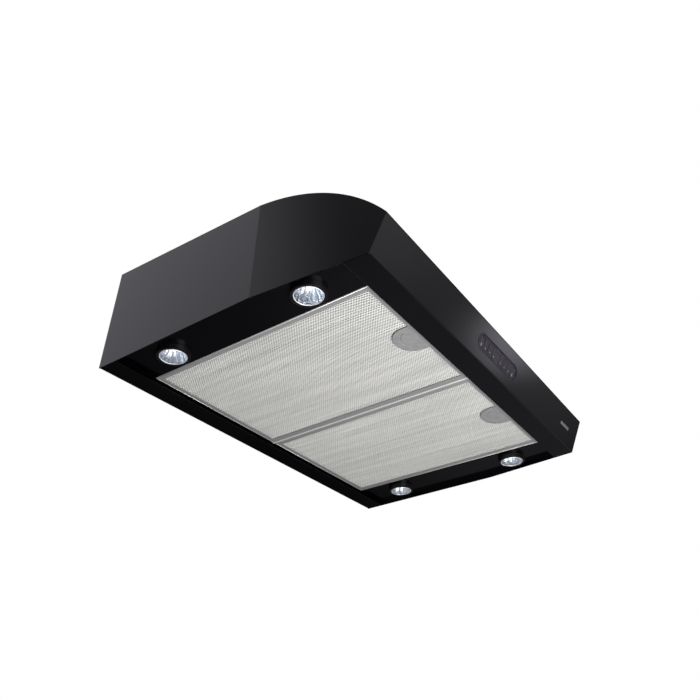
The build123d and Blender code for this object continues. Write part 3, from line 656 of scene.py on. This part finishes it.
def add_capsule(number, low, high, top):
    """Glowing capsule that stands in the bowl, with a rounded tip."""
    tip = top - CAPSULE_LENGTH
    rear = high.z - CAPSULE_INSET
    profile = [(AXIS_RADIUS, tip)]
    for step in range(1, DOME_STEPS + 1):
        angle = radians(90) * step / DOME_STEPS
        profile.append((CAPSULE_RADIUS * sin(angle), tip + BORE_RADIUS * (1 - cos(angle))))
    profile += [(CAPSULE_RADIUS, rear), (AXIS_RADIUS, rear)]
    name = "capsule_" + str(number)
    mesh = turned_mesh(name, profile, (low + high) / 2, ROUND_STEPS)
    add_piece(name, mesh, "lamp_glass", "hood", smooth=True, material=CAPSULE_MATERIAL)


def add_retaining_ring(number, centre):
    """Bright wire ring in front of the lamp's glass."""
    low, high = span("lamp_lens_" + str(number), UNDERSIDE)
    radius = (high.x - low.x) / 2 - RING_INSET
    level = low.z - RING_RADIUS
    profile = []
    for step in range(RING_SIDES):
        angle = tau * step / RING_SIDES
        profile.append((radius + RING_RADIUS * cos(angle), level + RING_RADIUS * sin(angle)))
    name = "retaining_ring_" + str(number)
    mesh = turned_mesh(name, profile, centre, ROUND_STEPS)
    add_piece(name, mesh, "bright_steel", "hood", smooth=True, material=RING_MATERIAL)


def add_lamp(number):
    """Reflector, capsule and retaining ring of one lamp, from the place of its CAD bulb."""
    low, high = span("lamp_bulb_" + str(number), UNDERSIDE)
    top = low.z + BOWL_SHARE * (high.z - low.z)
    add_reflector(number, low, high, top)
    add_capsule(number, low, high, top)
    add_retaining_ring(number, (low + high) / 2)


# ---- Key marks ----
# Each mark's width and height in millimetres, from key 1 to key 8
MARK_SIZES = (
    (2.2, 5.2),
    (1.4, 2.6),
    (1.6, 1.8),
    (1.5, 2.6),
    (1.6, 1.8),
    (1.6, 1.8),
    (1.5, 2.8),
    (2.2, 5.2),
)
MARK_HEIGHT_SHARE = 0.22  # a mark's middle, as a share of its key's height
MARK_ROUND = 0.45  # corner radius, as a share of a mark's width
MARK_RELIEF = 0.12 * MM
CORNER_STEPS = 5


def rounded_outline(centre_x, centre_y, width, height, radius):
    """Corners of a rounded rectangle."""
    outline = []
    for quarter, (side_x, side_y) in enumerate(((1, 1), (-1, 1), (-1, -1), (1, -1))):
        for step in range(CORNER_STEPS + 1):
            angle = radians(90) * (quarter + step / CORNER_STEPS)
            x = centre_x + side_x * (width / 2 - radius) + radius * cos(angle)
            y = centre_y + side_y * (height / 2 - radius) + radius * sin(angle)
            outline.append((x, y))
    return outline


def plate_mesh(name, outline, bottom, top, axes):
    """A flat plate with that outline between two levels."""
    count = len(outline)
    points = [(x, y, bottom) for x, y in outline] + [(x, y, top) for x, y in outline]
    faces = [tuple(range(count - 1, -1, -1)), tuple(range(count, 2 * count))]
    for i in range(count):
        j = (i + 1) % count
        faces.append((i, j, count + j, count + i))
    return mesh_of(name, points, faces, axes)


def add_key_marks():
    """A small raised silver mark on each key: no letters, only dashes and dots."""
    for number, (width, height) in enumerate(MARK_SIZES, start=1):
        low, high = span("control_key_" + str(number), FASCIA)
        centre = (low.x + high.x) / 2
        middle = low.y + MARK_HEIGHT_SHARE * (high.y - low.y)
        outline = rounded_outline(centre, middle, width * MM, height * MM, MARK_ROUND * width * MM)
        name = "key_mark_" + str(number)
        mesh = plate_mesh(name, outline, high.z - MARK_RELIEF, high.z + MARK_RELIEF, FASCIA)
        add_piece(name, mesh, "badge_metal", "key_" + str(number))


# ---- Rivets of the duct collar ----
RIVET_COUNT = 8
RIVET_RADIUS = 3.2 * MM
RIVET_RISE = 1.1 * MM
RIVET_SINK = 0.2 * MM


def add_collar_rivets():
    """Dome heads on the top panel, half way between the collar's wall and its flange's edge."""
    flange_low, flange_high = span("duct_collar", UPRIGHT)
    centre = (flange_low + flange_high) / 2
    flange = (flange_high.x - flange_low.x) / 2
    wall = span("damper_pin", UPRIGHT)[1].x
    reach = (flange + wall) / 2
    top = span("top_panel", UPRIGHT)[1].z
    profile = [(AXIS_RADIUS, top - RIVET_SINK), (RIVET_RADIUS, top - RIVET_SINK)]
    for step in range(DOME_STEPS + 1):
        angle = radians(90) * step / DOME_STEPS
        radius = max(RIVET_RADIUS * cos(angle), AXIS_RADIUS)
        profile.append((radius, top + RIVET_RISE * sin(angle)))
    for number in range(1, RIVET_COUNT + 1):
        angle = tau * (number - 0.5) / RIVET_COUNT
        place = Vector((centre.x + reach * cos(angle), centre.y + reach * sin(angle), 0))
        name = "collar_rivet_" + str(number)
        mesh = turned_mesh(name, profile, place, ROUND_STEPS // 2, axes=UPRIGHT)
        add_piece(name, mesh, "bright_steel", "hood", smooth=True)


# ---- Camera, from a fit to the hood's outline, folds, lamps and filters ----
CAMERA_PLACE = Vector((-0.9292, -0.7219, -0.7193))
CAMERA_PITCH = radians(121.5136)  # up from straight down
CAMERA_ROLL = radians(-1.5787)  # about the level line ahead
CAMERA_HEADING = radians(-55.3511)  # anticlockwise from +Y, seen from above
CAMERA_LENS = 36.24  # millimetres, on a sensor this wide:
CAMERA_SENSOR = 36


def add_camera():
    """Camera below the hood's left front corner."""
    data = bpy.data.cameras.new("camera")
    data.sensor_width = CAMERA_SENSOR
    data.lens = CAMERA_LENS
    camera = bpy.data.objects.new("camera", data)
    bpy.context.scene.collection.objects.link(camera)
    turn = Euler((CAMERA_PITCH, CAMERA_ROLL, CAMERA_HEADING))
    camera.matrix_world = Matrix.LocRotScale(CAMERA_PLACE, turn, None)
    bpy.context.scene.camera = camera


# ---- Lights ----
# Each softbox's place, the point that it faces, its side in metres and its power in watts
SOFTBOXES = {
    "light_below": ((-0.25, -0.95, -1.0), (0.05, -0.1, -0.15), 0.8, 27),
    "light_above": ((-0.6, -0.9, 1.6), (0, 0, 0), 1.6, 40),
}
OVERHEAD_STRENGTH = 2.6  # watts per square metre
OVERHEAD_ANGLE = radians(70)


def add_softbox(name, place, aim, size, power):
    """A square area light."""
    data = bpy.data.lights.new(name, "AREA")
    data.shape = "SQUARE"
    data.size = size
    data.energy = power
    light = bpy.data.objects.new(name, data)
    light.location = place
    light.rotation_euler = (Vector(aim) - Vector(place)).to_track_quat("-Z", "Y").to_euler()
    light.visible_camera = False
    bpy.context.scene.collection.objects.link(light)


def add_overhead():
    """Wide soft light from straight above, mostly for the floor and the top."""
    data = bpy.data.lights.new("overhead", "SUN")
    data.energy = OVERHEAD_STRENGTH
    data.angle = OVERHEAD_ANGLE
    bpy.context.scene.collection.objects.link(bpy.data.objects.new("overhead", data))


# ---- Studio that the paint mirrors ----
# Each glow's azimuth and elevation, full and outer radius in degrees, and strength
GLOWS = {
    "side": (128, 33, 9, 23, 0.9),
    "side_halo": (150, 25, 12, 48, 0.24),
    "front_left": (-68, 12, 4, 27, 1.0),
    "front_strip": (-36.5, 8.5, 0.5, 3.5, 1.95),
    "front_halo": (-39, 8.5, 1, 16, 0.25),
    "below": (14, -38, 5, 23, 0.14),
    "below_left": (42, -50, 8, 25, 0.055),
    "right": (45, 36, 12, 36, 0.8),
    "low_left": (-135, -12, 8, 26, 0.5),
    "low_far_left": (180, -12, 8, 26, 0.35),
    "low_far_right": (-6, -6, 5, 17, 0.3),
    "low_right": (-30, -28, 8, 24, 0.5),
    "low_behind": (138, -22, 8, 28, 0.4),
    "low_beside": (52, -6, 4, 14, 0.9),
}
STUDIO_DIM = 0.01  # brightness between the glows
STUDIO_TINT = (0.93, 0.91, 1.0, 1)
BACKDROP_WHITE = (1, 1, 1, 1)


def direction_of(azimuth, elevation):
    """A direction from its azimuth, counted from +X towards +Y, and its elevation, in degrees."""
    level = cos(radians(elevation))
    return Vector((cos(radians(azimuth)) * level, sin(radians(azimuth)) * level, sin(radians(elevation))))


def glow_brightness(tree, direction, azimuth, elevation, full, outer, strength):
    """Brightness of one round glow, which fades between its full and its outer radius."""
    dot = tree.nodes.new("ShaderNodeVectorMath")
    dot.operation = "DOT_PRODUCT"
    dot.inputs[1].default_value = direction_of(azimuth, elevation)
    tree.links.new(direction, dot.inputs[0])
    glow = tree.nodes.new("ShaderNodeMapRange")
    glow.interpolation_type = "SMOOTHSTEP"
    set_input(glow, "From Min", cos(radians(outer)))
    set_input(glow, "From Max", cos(radians(full)))
    set_input(glow, "To Min", 0.0)
    set_input(glow, "To Max", strength)
    tree.links.new(dot.outputs["Value"], glow.inputs["Value"])
    return glow.outputs["Result"]


def studio_brightness(tree):
    """Brightness of the dim studio and all its glows together."""
    direction = tree.nodes.new("ShaderNodeTexCoord").outputs["Generated"]
    total = None
    for glow in GLOWS.values():
        add = tree.nodes.new("ShaderNodeMath")
        add.operation = "ADD"
        tree.links.new(glow_brightness(tree, direction, *glow), add.inputs[0])
        if total is None:
            add.inputs[1].default_value = STUDIO_DIM
        else:
            tree.links.new(total, add.inputs[1])
        total = add.outputs["Value"]
    return total


def add_world():
    """White backdrop for the camera, and a dim studio with soft glows for everything else."""
    world = bpy.data.worlds.new("studio")
    bpy.context.scene.world = world
    world.use_nodes = True
    tree = world.node_tree
    tree.nodes.clear()
    studio = tree.nodes.new("ShaderNodeBackground")
    set_input(studio, "Color", STUDIO_TINT)
    tree.links.new(studio_brightness(tree), studio.inputs["Strength"])
    backdrop = tree.nodes.new("ShaderNodeBackground")
    set_input(backdrop, "Color", BACKDROP_WHITE)
    choice = tree.nodes.new("ShaderNodeMixShader")
    tree.links.new(tree.nodes.new("ShaderNodeLightPath").outputs["Is Camera Ray"], choice.inputs["Fac"])
    tree.links.new(studio.outputs["Background"], choice.inputs[1])
    tree.links.new(backdrop.outputs["Background"], choice.inputs[2])
    output = tree.nodes.new("ShaderNodeOutputWorld")
    tree.links.new(choice.outputs["Shader"], output.inputs["Surface"])


# ---- Floor ----
FLOOR_LEVEL = -1.5
FLOOR_REACH = 40.0
FLOOR_CORNERS = ((-1, -1), (1, -1), (1, 1), (-1, 1))


def floor_material():
    """Matt pale floor, slightly uneven."""
    made = Surface("floor", Roughness=0.9, Specular_IOR_Level=0.1)
    made.shades(made.noise(400 * MM), grey(0.80), grey(0.83))
    return made.material


def add_floor():
    """Plain pale floor well below the hood. It neither lights the hood nor shows in its paint."""
    points = [(x * FLOOR_REACH, y * FLOOR_REACH, FLOOR_LEVEL) for x, y in FLOOR_CORNERS]
    mesh = mesh_of("floor", points, [(0, 1, 2, 3)], UPRIGHT)
    mesh.materials.append(floor_material())
    floor = bpy.data.objects.new("floor", mesh)
    bpy.context.scene.collection.objects.link(floor)
    floor.visible_glossy = False
    floor.visible_diffuse = False


def add_studio():
    """World, floor and lights, and a view transform that shows colours as they are."""
    add_world()
    add_floor()
    bpy.context.scene.view_settings.view_transform = "Standard"
    for name, values in SOFTBOXES.items():
        add_softbox(name, *values)
    add_overhead()


dress_cad_nodes()
for side in ("left", "right"):
    add_grease_mesh(side)
    add_hems(side)
for number in LAMP_NUMBERS:
    add_lamp(number)
add_key_marks()
add_collar_rivets()
add_camera()
add_studio()
